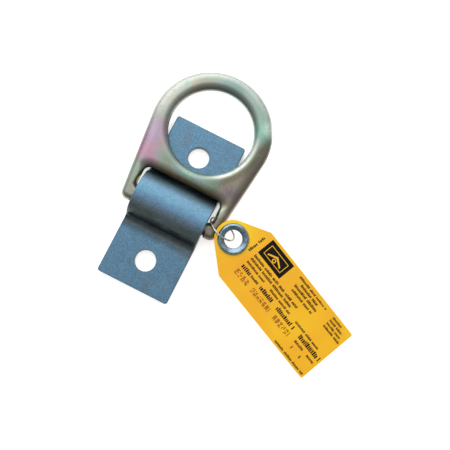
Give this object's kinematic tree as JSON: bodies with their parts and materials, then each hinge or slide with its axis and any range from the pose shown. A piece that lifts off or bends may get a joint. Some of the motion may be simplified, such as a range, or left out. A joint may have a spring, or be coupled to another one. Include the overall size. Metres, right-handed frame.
{
  "type": "roof anchor",
  "caption": "Bolt-on roof anchor: a humped steel strap holds a hinged forged D-ring for a lifeline hook, with an inspection tag on a wire ring.",
  "frame": {"origin": "midway between the two bolt holes, on the underside of the bracket's feet", "axes": "+Z out of the mounting surface, Y along the strap with the D-ring lying towards +Y, X along the hinge with the tag towards +X"},
  "size_m": [0.185, 0.158, 0.0226],
  "materials": {
    "zinc_strap": "blue-bright zinc plate, satin, fine grain",
    "dichromate_forging": "yellow dichromate zinc plate, iridescent satin",
    "wire": "bright drawn wire",
    "tag_plastic": "semi-matt yellow sheet",
    "grommet_steel": "zinc-plated pressed steel"
  },
  "bodies": {
    "bracket": {"bracket": "zinc_strap"},
    "d_ring": {"d_ring": "dichromate_forging"},
    "tag_ring": {"tag_ring": "wire"},
    "tag": {"tag": "tag_plastic", "grommet_eyelet": "grommet_steel", "grommet_washer": "grommet_steel"}
  },
  "joints": [
    {"name": "d_ring_hinge", "type": "hinge", "parent": "bracket", "child": "d_ring", "pos_m": [0, -0.0027, 0.01065], "axis": [1, 0, 0], "range_deg": [0, 180]},
    {"name": "tag_ring_swing", "type": "hinge", "parent": "d_ring", "child": "tag_ring", "pos_m": [0.031, 0.008, 0.01065], "axis": [0.9472, -0.3206, 0], "range_deg": [-25, 0]},
    {"name": "tag_swing", "type": "hinge", "parent": "tag_ring", "child": "tag", "pos_m": [0.03584, 0.00276, 0.00993], "axis": [0.2771, 0.8186, 0.503], "range_deg": [0, 75]}
  ]
}
